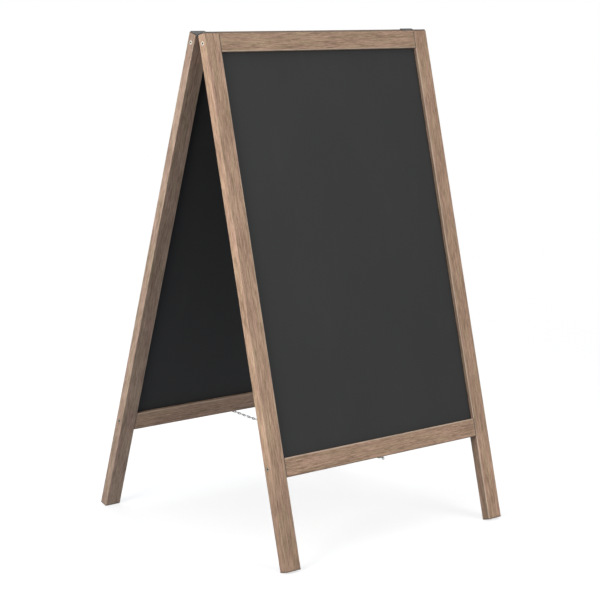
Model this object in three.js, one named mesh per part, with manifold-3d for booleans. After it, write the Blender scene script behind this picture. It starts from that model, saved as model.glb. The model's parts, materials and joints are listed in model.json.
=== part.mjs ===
// A folding sandwich board: two equal wooden frames with chalkboard panels, hinged along the top and held
// open near the feet by a chain. Millimetres, +Z up, X along the hinge line, front leaf facing -Y, origin
// on the ground below the middle of the hinge line.
import * as THREE from "three";
import { mergeVertices } from "three/addons/utils/BufferGeometryUtils.js";
import { RoundedBoxGeometry } from "three/addons/geometries/RoundedBoxGeometry.js";
import Module from "manifold-3d";

const wasm = await Module();
wasm.setup();

// ---------------------------------------------------------------- driving dimensions
const CLEARANCE = 0.3; // between pieces that touch
const SCREW_SIDES = 12; // facets of a screw or a screw hole
const BARREL_SIDES = 16; // facets of a hinge knuckle
const WELD_DISTANCE = 1e-4; // vertices closer than this become one
const CUT_OVERRUN = 1; // how far a cutter runs out past the face that it opens
const JOIN_OVERLAP = 0.1; // how far two forms run into each other where they are merged into one

const BOARD_WIDTH = 700;
const STILE_LENGTH = 1200;
const LEG_LENGTH = 204; // stile below the bottom rail
const MEMBER_FACE = 43; // width of a stile or rail, seen from the front
const MEMBER_THICKNESS = 22;
const ARRIS_RADIUS = 1.5;
const ARRIS_SEGMENTS = 1;
const LEAF_TILT = THREE.MathUtils.degToRad(15.3); // each leaf from the vertical, board open

const PANEL_THICKNESS = 5;
const GROOVE_DEPTH = 8.5;
const PANEL_EDGE_PLAY = 0.5; // between the panel's edge and the bottom of its groove

const HINGE_LENGTH = 40;
const PLATE_WIDTH = 20;
const PLATE_THICKNESS = 2;
const HINGE_END_INSET = 1; // from the stile's outer side face
const PLATE_EDGE_INSET = 0.8; // from the leaf's inner face
const KNUCKLE_COUNT = 5;
const KNUCKLE_RADIUS = 3.4;
const PIN_RADIUS = 1.5;
const PIN_HEAD_RADIUS = 2.3;
const PIN_HEAD_THICKNESS = 0.7;
const WEB_ROOT = 1; // how far a knuckle's web runs back into its plate
const PIN_BACKSET = 4.1; // from the hinge axis to each leaf's inner face
const PIN_HEIGHT = 0.7; // of the hinge axis above the stiles' end faces

const FRAME_SCREW_LENGTH = 70;
const FRAME_SCREW_SHANK_LENGTH = 46;
const FRAME_SCREW_HEAD_RADIUS = 5;
const FRAME_SCREW_HEAD_DEPTH = 3;
const FRAME_SCREW_HEAD_RIM = 0.6; // straight part of the head, above its cone
const FRAME_SCREW_SHANK_RADIUS = 3.2;
const FRAME_SCREW_THREAD_RADIUS = 2.6;
const FRAME_SCREW_STEP = 1; // length of the taper from shank to thread
const FRAME_SCREW_TIP_LENGTH = 3;
const FRAME_SCREW_SUNK = 0.4; // head below the stile's side face
const BOTTOM_SCREW_LIFT = 4; // the lower frame screws are this far above their rail's middle
const HEX_SOCKET_RADIUS = 2.3; // to its corners
const HEX_SOCKET_DEPTH = 2.4;
const HEX_SIDES = 6;

const HINGE_SCREW_LENGTH = 16;
const HINGE_SCREW_HEAD_RADIUS = 3;
const HINGE_SCREW_HEAD_DEPTH = 1.6;
const HINGE_SCREW_HEAD_RIM = 0.2;
const HINGE_SCREW_SHANK_RADIUS = 1.5;
const HINGE_SCREW_TIP_LENGTH = 4;
const HINGE_SCREW_SPACING = 24;
const CROSS_SLOT_LENGTH = 3.4;
const CROSS_SLOT_WIDTH = 0.7;
const CROSS_SLOT_DEPTH = 0.9;

const EYE_RING_RADIUS = 2.95; // to the middle of the wire
const EYE_RING_STEPS = 16;
const EYE_WIRE_RADIUS = 0.75;
const EYE_WIRE_SIDES = 6;
const EYE_SHANK_RADIUS = 1.1;
const EYE_SHANK_LENGTH = 12; // inside the rail
const EYE_DROP = 4.8; // eye centre below the rail
const FRONT_EYE_X = 0;
const BACK_EYE_X = 15;

const CHAIN_RADIUS = 1.7;
const CHAIN_SAG = 7;
const CHAIN_MIDDLE_GAP = 10; // one link long, where the chain's halves part
const CHAIN_STEPS = 20;
const CHAIN_SIDES = 8;

// ---------------------------------------------------------------- derived places
// A leaf's own frame: x along the board, z = 0 at the stiles' top ends and the feet at -STILE_LENGTH,
// y = 0 on the inner face and y = -MEMBER_THICKNESS on the outer face.
const HALF_WIDTH = BOARD_WIDTH / 2;
const HALF_OPENING = HALF_WIDTH - MEMBER_FACE;
const STILE_X = HALF_WIDTH - MEMBER_FACE / 2;
const MIDDLE_Y = -MEMBER_THICKNESS / 2;
const TOP_RAIL_Z = -MEMBER_FACE / 2;
const BOTTOM_RAIL_Z = -STILE_LENGTH + LEG_LENGTH + MEMBER_FACE / 2;
const BOTTOM_SCREW_Z = BOTTOM_RAIL_Z + BOTTOM_SCREW_LIFT;
const GROOVE_TOP_Z = TOP_RAIL_Z - MEMBER_FACE / 2 + GROOVE_DEPTH;
const GROOVE_BOTTOM_Z = BOTTOM_RAIL_Z + MEMBER_FACE / 2 - GROOVE_DEPTH;
const HINGE_X = HALF_WIDTH - HINGE_END_INSET - HINGE_LENGTH / 2;
const PLATE_TOP_Z = CLEARANCE + PLATE_THICKNESS;
const PLATE_MIDDLE_Y = -PLATE_EDGE_INSET - PLATE_WIDTH / 2;
const RAIL_UNDERSIDE_Z = BOTTOM_RAIL_Z - MEMBER_FACE / 2;
const EYE_Z = RAIL_UNDERSIDE_Z - EYE_DROP;

// ---------------------------------------------------------------- materials
const wood = new THREE.MeshStandardMaterial({ color: 0xa88d78, roughness: 0.7, metalness: 0 });
const slate = new THREE.MeshStandardMaterial({ color: 0x3b3c3b, roughness: 0.85, metalness: 0 });
const brightSteel = new THREE.MeshStandardMaterial({ color: 0xcfcbc4, roughness: 0.35, metalness: 1 });
const darkSteel = new THREE.MeshStandardMaterial({ color: 0x4b4f4c, roughness: 0.5, metalness: 0.8 });
const chainSteel = new THREE.MeshStandardMaterial({ color: 0x9b9a96, roughness: 0.3, metalness: 1 });

// ---------------------------------------------------------------- solids and meshes
function solidOf(geometry) {
  const bare = geometry.clone();
  bare.deleteAttribute("normal");
  bare.deleteAttribute("uv");
  const merged = mergeVertices(bare, WELD_DISTANCE);
  return new wasm.Manifold(
    new wasm.Mesh({
      numProp: 3,
      vertProperties: merged.attributes.position.array,
      triVerts: new Uint32Array(merged.index.array),
    }),
  );
}

function geometryOf(solid) {
  const cut = solid.getMesh();
  const geometry = new THREE.BufferGeometry();
  geometry.setAttribute("position", new THREE.BufferAttribute(cut.vertProperties, 3));
  geometry.setIndex(new THREE.BufferAttribute(cut.triVerts, 1));
  geometry.computeVertexNormals();
  return geometry;
}

function cutFrom(geometry, cutters) {
  return geometryOf(cutters.reduce((body, cutter) => body.subtract(solidOf(cutter)), solidOf(geometry)));
}

function named(name, geometry, material) {
  const mesh = new THREE.Mesh(geometry, material);
  mesh.name = name;
  return mesh;
}

// ---------------------------------------------------------------- simple forms
// A box that spans two values along each axis, in either order.
function boxBetween(xs, ys, zs) {
  const box = new THREE.Box3();
  for (const end of [0, 1]) {
    box.expandByPoint(new THREE.Vector3(xs[end], ys[end], zs[end]));
  }
  const size = box.getSize(new THREE.Vector3());
  const middle = box.getCenter(new THREE.Vector3());
  return new THREE.BoxGeometry(size.x, size.y, size.z).translate(middle.x, middle.y, middle.z);
}

function rodAlongX(radius, x0, x1, sides = SCREW_SIDES) {
  const rod = new THREE.CylinderGeometry(radius, radius, x1 - x0, sides);
  return rod.rotateZ(Math.PI / 2).translate((x0 + x1) / 2, 0, 0);
}

// A turned form that hangs down from z = 0. The profile is a list of [radius, depth], from the axis at the
// top to the axis at the bottom.
function turned(profile, sides = SCREW_SIDES) {
  const points = profile.map(([radius, depth]) => new THREE.Vector2(radius, -depth)).reverse();
  return new THREE.LatheGeometry(points, sides).rotateX(Math.PI / 2);
}

// ---------------------------------------------------------------- screws
// A screw's form grown by a margin: a margin of 0 is the screw, and a clearance makes the hole for it.
function frameScrewForm(margin) {
  return turned([
    [0, 0],
    [FRAME_SCREW_HEAD_RADIUS + margin, 0],
    [FRAME_SCREW_HEAD_RADIUS + margin, FRAME_SCREW_HEAD_RIM],
    [FRAME_SCREW_SHANK_RADIUS + margin, FRAME_SCREW_HEAD_DEPTH],
    [FRAME_SCREW_SHANK_RADIUS + margin, FRAME_SCREW_SHANK_LENGTH],
    [FRAME_SCREW_THREAD_RADIUS + margin, FRAME_SCREW_SHANK_LENGTH + FRAME_SCREW_STEP],
    [FRAME_SCREW_THREAD_RADIUS + margin, FRAME_SCREW_LENGTH - FRAME_SCREW_TIP_LENGTH],
    [0, FRAME_SCREW_LENGTH + margin],
  ]);
}

function hingeScrewForm(margin) {
  return turned([
    [0, 0],
    [HINGE_SCREW_HEAD_RADIUS + margin, 0],
    [HINGE_SCREW_HEAD_RADIUS + margin, HINGE_SCREW_HEAD_RIM],
    [HINGE_SCREW_SHANK_RADIUS + margin, HINGE_SCREW_HEAD_DEPTH],
    [HINGE_SCREW_SHANK_RADIUS + margin, HINGE_SCREW_LENGTH - HINGE_SCREW_TIP_LENGTH],
    [0, HINGE_SCREW_LENGTH + margin],
  ]);
}

// Turns a form that hangs down from z = 0 so that it runs in from the stile's outer side face.
function placeFrameScrew(form, side, screwZ) {
  const headX = side * (HALF_WIDTH - FRAME_SCREW_SUNK);
  return form.rotateY((side * Math.PI) / 2).translate(headX, MIDDLE_Y, screwZ);
}

function placeHingeScrew(form, side, offset) {
  return form.translate(side * HINGE_X + offset, PLATE_MIDDLE_Y, PLATE_TOP_Z);
}

function frameScrew(side, screwZ) {
  const socket = turned(
    [
      [0, -CUT_OVERRUN],
      [HEX_SOCKET_RADIUS, -CUT_OVERRUN],
      [HEX_SOCKET_RADIUS, HEX_SOCKET_DEPTH],
      [0, HEX_SOCKET_DEPTH],
    ],
    HEX_SIDES,
  );
  return placeFrameScrew(cutFrom(frameScrewForm(0), [socket]), side, screwZ);
}

function hingeScrew(side, offset) {
  const slots = [0, Math.PI / 2].map((turn) => {
    const slot = new THREE.BoxGeometry(CROSS_SLOT_LENGTH, CROSS_SLOT_WIDTH, 2 * CROSS_SLOT_DEPTH);
    return slot.rotateZ(turn);
  });
  return placeHingeScrew(cutFrom(hingeScrewForm(0), slots), side, offset);
}

function hingeScrewHoles(side) {
  const offsets = [-HINGE_SCREW_SPACING / 2, HINGE_SCREW_SPACING / 2];
  return offsets.map((offset) => placeHingeScrew(hingeScrewForm(CLEARANCE), side, offset));
}

// The hole for a frame screw, open at the stile's outer side face.
function frameScrewHoles(side, screwZ) {
  const mouth = rodAlongX(FRAME_SCREW_HEAD_RADIUS + CLEARANCE, -CUT_OVERRUN, CUT_OVERRUN);
  return [
    placeFrameScrew(frameScrewForm(CLEARANCE), side, screwZ),
    mouth.translate(side * HALF_WIDTH, MIDDLE_Y, screwZ),
  ];
}

// ---------------------------------------------------------------- frame members and panel
function grooveAcross(xs, zs) {
  const halfSlot = PANEL_THICKNESS / 2 + CLEARANCE;
  return boxBetween(xs, [MIDDLE_Y - halfSlot, MIDDLE_Y + halfSlot], zs);
}

function stile(side) {
  const blank = new RoundedBoxGeometry(
    MEMBER_FACE,
    MEMBER_THICKNESS,
    STILE_LENGTH,
    ARRIS_SEGMENTS,
    ARRIS_RADIUS,
  );
  blank.translate(side * STILE_X, MIDDLE_Y, -STILE_LENGTH / 2);
  const grooveXs = [side * (HALF_OPENING - CUT_OVERRUN), side * (HALF_OPENING + GROOVE_DEPTH)];
  return cutFrom(blank, [
    grooveAcross(grooveXs, [GROOVE_BOTTOM_Z, GROOVE_TOP_Z]),
    ...frameScrewHoles(side, TOP_RAIL_Z),
    ...frameScrewHoles(side, BOTTOM_SCREW_Z),
    ...hingeScrewHoles(side),
  ]);
}

// A rail with its groove running from grooveZ out through the edge that faces the panel.
function rail(railZ, grooveZ, screwZ, extraCutters = []) {
  const length = 2 * (HALF_OPENING - CLEARANCE);
  const blank = new RoundedBoxGeometry(length, MEMBER_THICKNESS, MEMBER_FACE, ARRIS_SEGMENTS, ARRIS_RADIUS);
  blank.translate(0, MIDDLE_Y, railZ);
  const towardsPanel = Math.sign(grooveZ - railZ);
  const beyondEdge = railZ + towardsPanel * MEMBER_FACE;
  return cutFrom(blank, [
    grooveAcross([-length, length], [grooveZ, beyondEdge]),
    ...[-1, 1].map((side) => placeFrameScrew(frameScrewForm(CLEARANCE), side, screwZ)),
    ...extraCutters,
  ]);
}

function eyeScrewHole(eyeX) {
  const bore = turned([
    [0, -EYE_SHANK_LENGTH - CLEARANCE],
    [EYE_SHANK_RADIUS + CLEARANCE, -EYE_SHANK_LENGTH - CLEARANCE],
    [EYE_SHANK_RADIUS + CLEARANCE, CUT_OVERRUN],
    [0, CUT_OVERRUN],
  ]);
  return bore.translate(eyeX, MIDDLE_Y, RAIL_UNDERSIDE_Z);
}

function panel() {
  const halfPanel = HALF_OPENING + GROOVE_DEPTH - PANEL_EDGE_PLAY;
  return boxBetween(
    [-halfPanel, halfPanel],
    [MIDDLE_Y - PANEL_THICKNESS / 2, MIDDLE_Y + PANEL_THICKNESS / 2],
    [GROOVE_BOTTOM_Z + PANEL_EDGE_PLAY, GROOVE_TOP_Z - PANEL_EDGE_PLAY],
  );
}

// ---------------------------------------------------------------- hinges and screw eyes
// A hinge plate on the stile's end face, with every second knuckle from firstKnuckle on.
function hingePlate(side, firstKnuckle) {
  const halfHinge = HINGE_LENGTH / 2;
  const pitch = HINGE_LENGTH / KNUCKLE_COUNT;
  let plate = solidOf(
    boxBetween(
      [-halfHinge, halfHinge],
      [-PLATE_EDGE_INSET - PLATE_WIDTH, -PLATE_EDGE_INSET],
      [CLEARANCE, PLATE_TOP_Z],
    ),
  );
  for (let knuckle = firstKnuckle; knuckle < KNUCKLE_COUNT; knuckle += 2) {
    const x0 = -halfHinge + knuckle * pitch + (knuckle > 0 ? CLEARANCE / 2 : 0);
    const x1 = -halfHinge + (knuckle + 1) * pitch - (knuckle < KNUCKLE_COUNT - 1 ? CLEARANCE / 2 : 0);
    const webYs = [-PLATE_EDGE_INSET - WEB_ROOT, PIN_BACKSET];
    const web = boxBetween([x0, x1], webYs, [CLEARANCE, PLATE_TOP_Z]);
    const barrel = rodAlongX(KNUCKLE_RADIUS, x0, x1, BARREL_SIDES).translate(0, PIN_BACKSET, PIN_HEIGHT);
    plate = plate.add(solidOf(web)).add(solidOf(barrel));
  }
  const bore = rodAlongX(PIN_RADIUS + CLEARANCE, -HINGE_LENGTH, HINGE_LENGTH);
  plate = plate.subtract(solidOf(bore.translate(0, PIN_BACKSET, PIN_HEIGHT)));
  const placed = geometryOf(plate).translate(side * HINGE_X, 0, 0);
  return cutFrom(placed, hingeScrewHoles(side));
}

function hingePin(side) {
  const halfPin = HINGE_LENGTH / 2 + CLEARANCE;
  let pin = solidOf(rodAlongX(PIN_RADIUS, -halfPin - JOIN_OVERLAP, halfPin + JOIN_OVERLAP));
  for (const end of [-1, 1]) {
    const head = rodAlongX(PIN_HEAD_RADIUS, 0, PIN_HEAD_THICKNESS);
    head.translate(end > 0 ? halfPin : -halfPin - PIN_HEAD_THICKNESS, 0, 0);
    pin = pin.add(solidOf(head));
  }
  return geometryOf(pin).translate(side * HINGE_X, PIN_BACKSET, PIN_HEIGHT);
}

function screwEye(eyeX) {
  const ring = new THREE.TorusGeometry(EYE_RING_RADIUS, EYE_WIRE_RADIUS, EYE_WIRE_SIDES, EYE_RING_STEPS);
  ring.rotateY(Math.PI / 2);
  const shankLength = EYE_DROP + EYE_SHANK_LENGTH - EYE_RING_RADIUS;
  const shank = new THREE.CylinderGeometry(EYE_SHANK_RADIUS, EYE_SHANK_RADIUS, shankLength, SCREW_SIDES);
  shank.rotateX(Math.PI / 2).translate(0, 0, EYE_RING_RADIUS + shankLength / 2);
  return geometryOf(solidOf(ring).add(solidOf(shank))).translate(eyeX, MIDDLE_Y, EYE_Z);
}

// ---------------------------------------------------------------- one leaf
// prefix names the leaf. hands gives the name of the leaf's -x and +x sides, seen from the front of the
// whole board. The front leaf carries the hinge pins, and its plates have the first and last knuckles.
function leaf(prefix, hands, eyeX, firstKnuckle) {
  const group = new THREE.Group();
  const add = (name, geometry, material) => group.add(named(`${prefix}_${name}`, geometry, material));

  for (const [index, hand] of hands.entries()) {
    const side = 2 * index - 1;
    add(`${hand}_stile`, stile(side), wood);
    add(`${hand}_top_screw`, frameScrew(side, TOP_RAIL_Z), brightSteel);
    add(`${hand}_bottom_screw`, frameScrew(side, BOTTOM_SCREW_Z), brightSteel);
    add(`${hand}_hinge_plate`, hingePlate(side, firstKnuckle), darkSteel);
    add(`${hand}_hinge_outer_screw`, hingeScrew(side, (side * HINGE_SCREW_SPACING) / 2), darkSteel);
    add(`${hand}_hinge_inner_screw`, hingeScrew(side, (-side * HINGE_SCREW_SPACING) / 2), darkSteel);
    if (firstKnuckle === 0) {
      group.add(named(`${hand}_hinge_pin`, hingePin(side), darkSteel));
    }
  }
  add("top_rail", rail(TOP_RAIL_Z, GROOVE_TOP_Z, TOP_RAIL_Z), wood);
  add("bottom_rail", rail(BOTTOM_RAIL_Z, GROOVE_BOTTOM_Z, BOTTOM_SCREW_Z, [eyeScrewHole(eyeX)]), wood);
  add("chalkboard", panel(), slate);
  add("screw_eye", screwEye(eyeX), chainSteel);

  // The half gap at the top lets both leaves turn about the same pin.
  const halfGap = PIN_BACKSET * Math.cos(LEAF_TILT) + PIN_HEIGHT * Math.sin(LEAF_TILT);
  group.position.set(0, -halfGap, 0);
  group.rotation.x = -LEAF_TILT;
  return group;
}

// ---------------------------------------------------------------- chain
// The chain hangs between the two eyes as a shallow parabola. Each half stops short of its eye's ring and
// half a link from the middle.
class ChainRun extends THREE.Curve {
  constructor(from, to, sag, start, end) {
    super();
    this.run = new THREE.QuadraticBezierCurve3(
      from,
      from.clone().add(to).multiplyScalar(0.5).add(new THREE.Vector3(0, 0, -2 * sag)),
      to,
    );
    this.start = start;
    this.end = end;
  }

  getPoint(t, target = new THREE.Vector3()) {
    return this.run.getPoint(this.start + (this.end - this.start) * t, target);
  }
}

function chainHalf(name, eye, otherEye) {
  const length = eye.distanceTo(otherEye);
  const start = (EYE_RING_RADIUS + EYE_WIRE_RADIUS + CLEARANCE) / length;
  const end = 0.5 - CHAIN_MIDDLE_GAP / 2 / length;
  const section = new THREE.Shape().absarc(0, 0, CHAIN_RADIUS, 0, 2 * Math.PI);
  const tube = new THREE.ExtrudeGeometry(section, {
    extrudePath: new ChainRun(eye, otherEye, CHAIN_SAG, start, end),
    steps: CHAIN_STEPS,
    curveSegments: CHAIN_SIDES / 2,
  });
  return named(name, tube, chainSteel);
}

// ---------------------------------------------------------------- the whole board
const frontLeaf = leaf("front", ["left", "right"], FRONT_EYE_X, 0);
const backLeaf = new THREE.Group();
backLeaf.add(leaf("back", ["right", "left"], -BACK_EYE_X, 1));
backLeaf.rotation.z = Math.PI;

const sandwichBoard = new THREE.Group();
sandwichBoard.add(frontLeaf, backLeaf);
sandwichBoard.updateMatrixWorld(true);

const frontEye = frontLeaf.localToWorld(new THREE.Vector3(FRONT_EYE_X, MIDDLE_Y, EYE_Z));
const backEye = backLeaf.children[0].localToWorld(new THREE.Vector3(-BACK_EYE_X, MIDDLE_Y, EYE_Z));
sandwichBoard.add(chainHalf("front_chain_half", frontEye, backEye));
sandwichBoard.add(chainHalf("back_chain_half", backEye, frontEye));

// The feet stand on the ground at z = 0.
sandwichBoard.position.z = -new THREE.Box3().setFromObject(sandwichBoard, true).min.z;

export default sandwichBoard;
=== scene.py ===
"""Looks of a folding sandwich board: two wooden frames with chalkboard panels, hinged along the top and held
open by a chain. Metres, +Z up, X along the hinge line, front leaf facing -Y."""

import json
import math
import random

import bpy
from mathutils import Matrix, Vector, noise


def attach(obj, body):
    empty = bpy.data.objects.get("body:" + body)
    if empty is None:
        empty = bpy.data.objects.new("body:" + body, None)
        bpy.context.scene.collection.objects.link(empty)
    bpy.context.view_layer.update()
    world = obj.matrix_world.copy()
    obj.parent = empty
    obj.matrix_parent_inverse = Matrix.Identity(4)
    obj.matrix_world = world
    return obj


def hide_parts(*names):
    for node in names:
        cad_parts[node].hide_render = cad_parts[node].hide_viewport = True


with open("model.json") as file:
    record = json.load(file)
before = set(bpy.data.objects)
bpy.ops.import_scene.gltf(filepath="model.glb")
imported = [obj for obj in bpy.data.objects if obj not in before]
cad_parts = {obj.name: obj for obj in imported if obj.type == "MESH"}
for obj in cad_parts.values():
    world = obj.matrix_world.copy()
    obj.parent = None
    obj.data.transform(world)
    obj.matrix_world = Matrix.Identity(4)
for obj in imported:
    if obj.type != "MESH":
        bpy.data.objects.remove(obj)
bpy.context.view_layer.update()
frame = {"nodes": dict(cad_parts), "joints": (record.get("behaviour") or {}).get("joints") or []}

MM = 0.001

# ---------------------------------------------------------------- driving dimensions, as in the CAD model
BOARD_WIDTH = 700 * MM
STILE_LENGTH = 1200 * MM
LEG_LENGTH = 204 * MM
MEMBER_FACE = 43 * MM
MEMBER_THICKNESS = 22 * MM
LEAF_TILT = math.radians(15.3)
CLEARANCE = 0.3 * MM
ARRIS_RADIUS = 1.5 * MM

PANEL_THICKNESS = 5 * MM
GROOVE_DEPTH = 8.5 * MM

HINGE_LENGTH = 40 * MM
PLATE_WIDTH = 20 * MM
PLATE_THICKNESS = 2 * MM
HINGE_END_INSET = 1 * MM
PLATE_EDGE_INSET = 0.8 * MM
KNUCKLE_COUNT = 5
KNUCKLE_RADIUS = 3.4 * MM
PIN_RADIUS = 1.5 * MM
PIN_BACKSET = 4.1 * MM
PIN_HEIGHT = 0.7 * MM
PIN_PLAY = 0.15 * MM
HINGE_SCREW_SPACING = 24 * MM

FRAME_SCREW_SUNK = 0.4 * MM
BOTTOM_SCREW_LIFT = 4 * MM  # above the middle of the bottom rail
EYE_DROP = 4.8 * MM
EYE_SHANK_LENGTH = 12 * MM
EYE_SHANK_RADIUS = 1.05 * MM
EYE_RING_RADIUS = 2.95 * MM
EYE_WIRE_RADIUS = 0.75 * MM

LINK_WIRE_RADIUS = 0.92 * MM
LINK_OUTER_WIDTH = 5.6 * MM
LINK_COUNT = 58
UPRIGHT_LINK_PAINTED_SHADE = 1.0  # every second link stands on edge and is painted much darker, as painted shade
CHAIN_SAG = 7 * MM

# ---------------------------------------------------------------- derived places, in the leaf's own frame
# x along the board, z = 0 at the stiles' top ends, y = 0 on the inner face, -y outwards.
HALF_WIDTH = BOARD_WIDTH / 2
HALF_OPENING = HALF_WIDTH - MEMBER_FACE
STILE_X = HALF_WIDTH - MEMBER_FACE / 2
MIDDLE_Y = -MEMBER_THICKNESS / 2
TOP_RAIL_Z = -MEMBER_FACE / 2
BOTTOM_RAIL_Z = -STILE_LENGTH + LEG_LENGTH + MEMBER_FACE / 2
BOTTOM_SCREW_Z = BOTTOM_RAIL_Z + BOTTOM_SCREW_LIFT
GROOVE_TOP_Z = TOP_RAIL_Z - MEMBER_FACE / 2 + GROOVE_DEPTH
GROOVE_BOTTOM_Z = BOTTOM_RAIL_Z + MEMBER_FACE / 2 - GROOVE_DEPTH
HINGE_X = HALF_WIDTH - HINGE_END_INSET - HINGE_LENGTH / 2
PLATE_TOP_Z = CLEARANCE + PLATE_THICKNESS
PLATE_MIDDLE_Y = -PLATE_EDGE_INSET - PLATE_WIDTH / 2
RAIL_UNDERSIDE_Z = BOTTOM_RAIL_Z - MEMBER_FACE / 2

JOINTS = {joint["name"]: joint for joint in frame["joints"]}
HINGE_AXIS_Z = JOINTS["fold"]["pos_m"][2]
FRONT_EYE = Vector(JOINTS["front_chain_swing"]["pos_m"])
BACK_EYE = Vector(JOINTS["back_chain_swing"]["pos_m"])

half_gap = PIN_BACKSET * math.cos(LEAF_TILT) + PIN_HEIGHT * math.sin(LEAF_TILT)
leaf_top_z = HINGE_AXIS_Z + PIN_BACKSET * math.sin(LEAF_TILT) - PIN_HEIGHT * math.cos(LEAF_TILT)
FRONT_LEAF = Matrix.Translation((0, -half_gap, leaf_top_z)) @ Matrix.Rotation(-LEAF_TILT, 4, "X")
BACK_LEAF = Matrix.Rotation(math.pi, 4, "Z") @ FRONT_LEAF
LEAVES = {"front": FRONT_LEAF, "back": BACK_LEAF}


# ---------------------------------------------------------------- camera, first of all
CAMERA_TARGET = Vector((-19.2 * MM, 0, 526.5 * MM))
CAMERA_AZIMUTH = math.radians(42.43)  # to the left of straight ahead
CAMERA_ELEVATION = math.radians(10.42)
CAMERA_ROLL = math.radians(1.52)
CAMERA_DISTANCE = 4.548
CAMERA_LENS = 114.4  # on a 36 mm wide sensor


def make_camera():
    data = bpy.data.cameras.new("camera")
    data.sensor_width = 36
    data.lens = CAMERA_LENS
    camera = bpy.data.objects.new("camera", data)
    bpy.context.scene.collection.objects.link(camera)
    level = math.cos(CAMERA_ELEVATION)
    back = Vector(
        (
            -math.sin(CAMERA_AZIMUTH) * level,
            -math.cos(CAMERA_AZIMUTH) * level,
            math.sin(CAMERA_ELEVATION),
        )
    )
    right = Vector((0, 0, 1)).cross(back).normalized()
    up = back.cross(right)
    turn = Matrix((right, up, back)).transposed().to_4x4()
    place = Matrix.Translation(CAMERA_TARGET + back * CAMERA_DISTANCE)
    camera.matrix_world = place @ turn @ Matrix.Rotation(CAMERA_ROLL, 4, "Z")
    bpy.context.scene.camera = camera


# ---------------------------------------------------------------- node helpers
class Nodes:
    """A small builder for a material's node tree."""

    def __init__(self, name):
        self.material = bpy.data.materials.new(name)
        self.material.use_nodes = True
        self.tree = self.material.node_tree
        self.shader = self.tree.nodes["Principled BSDF"]

    def link(self, source, target):
        self.tree.links.new(source, target)

    def add(self, kind, settings=None, inputs=None):
        node = self.tree.nodes.new(kind)
        for key, value in (settings or {}).items():
            setattr(node, key, value)
        for key, value in (inputs or {}).items():
            if isinstance(value, bpy.types.NodeSocket):
                self.link(value, node.inputs[key])
            else:
                node.inputs[key].default_value = value
        return node

    def math(self, operation, first, second=0.0):
        node = self.add("ShaderNodeMath", {"operation": operation}, {0: first, 1: second})
        return node.outputs[0]

    def stretched(self, vector, scale):
        node = self.add("ShaderNodeVectorMath", {"operation": "MULTIPLY"}, {0: vector, 1: scale})
        return node.outputs[0]

    def noise(self, vector, detail=3.0, roughness=0.5, scale=1.0):
        node = self.add(
            "ShaderNodeTexNoise",
            inputs={"Vector": vector, "Scale": scale, "Detail": detail, "Roughness": roughness},
        )
        return node.outputs["Fac"]

    def ramp(self, factor, low, high, smooth=True):
        """factor from low to high, mapped to 0 to 1 and clamped."""
        node = self.add(
            "ShaderNodeMapRange",
            {"interpolation_type": "SMOOTHSTEP" if smooth else "LINEAR"},
            {"Value": factor, "From Min": low, "From Max": high},
        )
        return node.outputs["Result"]

    def mix(self, factor, first, second, blend="MIX"):
        node = self.add("ShaderNodeMix", {"data_type": "RGBA", "blend_type": blend})
        for socket, value in ((node.inputs[0], factor), (node.inputs[6], first), (node.inputs[7], second)):
            if isinstance(value, bpy.types.NodeSocket):
                self.link(value, socket)
            else:
                socket.default_value = value if isinstance(value, float) else (*value, 1.0)
        return node.outputs[2]

    def bump(self, height, strength, distance):
        inputs = {"Height": height, "Strength": strength, "Distance": distance}
        self.link(self.add("ShaderNodeBump", inputs=inputs).outputs["Normal"], self.shader.inputs["Normal"])

    def shaded(self, share, colour, shade):
        """The colour times shade where share is 1, and as it was where share is 0."""
        return self.mix(share, colour, self.mix(1.0, colour, (shade,) * 3, "MULTIPLY"))


# ---------------------------------------------------------------- materials
WOOD_MEAN = (0.260, 0.172, 0.1165)
WOOD_CONTRAST = (0.60, 0.66, 0.72)  # how far the extremes of the grain are from the mean, as shares of it
WOOD_PINK = (1.035, 0.978, 1.005)
WOOD_TAN = (0.985, 1.01, 0.955)
WOOD_PORE = (0.085, 0.054, 0.038)
# Paler arrises are partly wear and partly painted highlight. The stain colour also paints shade on the bottom
# rails' lower arrises.
WOOD_WORN_AND_LIT = (0.430, 0.345, 0.275)
WOOD_STAIN_AND_SHADE = (0.085, 0.062, 0.048)
MEMBER_TINTS = {  # members that aren't of the mean colour
    "front_top_rail": (0.92, 0.93, 0.93),
    "back_left_stile": (0.86, 0.93, 1.02),
    "back_bottom_rail": (0.99, 1.00, 1.03),
}
GRAIN_NOISES = {  # per millimetre across, through and along the member, then detail and roughness
    "wander": ((0.012, 0.012, 0.0024), 2.0, 0.45),
    "streaks": ((0.34, 0.34, 0.020), 5.0, 0.72),
    "blotches": ((0.055, 0.055, 0.011), 3.0, 0.55),
    "fibres": ((0.80, 0.80, 0.045), 3.0, 0.70),
    "tint": ((0.16, 0.16, 0.012), 3.0, 0.6),
    "pores": ((1.05, 1.05, 0.085), 2.0, 0.5),
}
TONE_WEIGHTS = {"rings": 0.35, "streaks": 1.00, "blotches": 0.45, "fibres": 1.10}
TONE_RANGE = (0.16, 0.84)  # the tones that are darkest and lightest
TINT_RANGE = (0.38, 0.62)
PORE_RANGE = (0.61, 0.71)
PORE_BUMP_RANGE = (0.60, 0.72)
PORE_STRENGTH = 0.62
RINGS_PER_MM = 0.34
RING_WANDER = 60.0  # in mm
HEART_ACROSS = (40, 90)  # how far the tree's heart is from the leaf's origin across the member, in mm
HEART_THROUGH = (25, 60)  # and through its thickness

# Paling of arrises, wear and painted highlight, then painted shade on the bottom rails' lower arrises.
PALE_ARRIS_STRENGTH = 0.62
PALE_ARRIS_STREAKS = (0.20, 0.52)  # the paling is patchy, as the streaks are
UNDERSIDE_SHADE_STRENGTH = 0.45
# The top 2 mm of the leaf are darker.
TOP_END_DARKENING = 0.80
FOOT_END_STAIN = 0.70
JOINT_STAIN = 0.62
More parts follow.
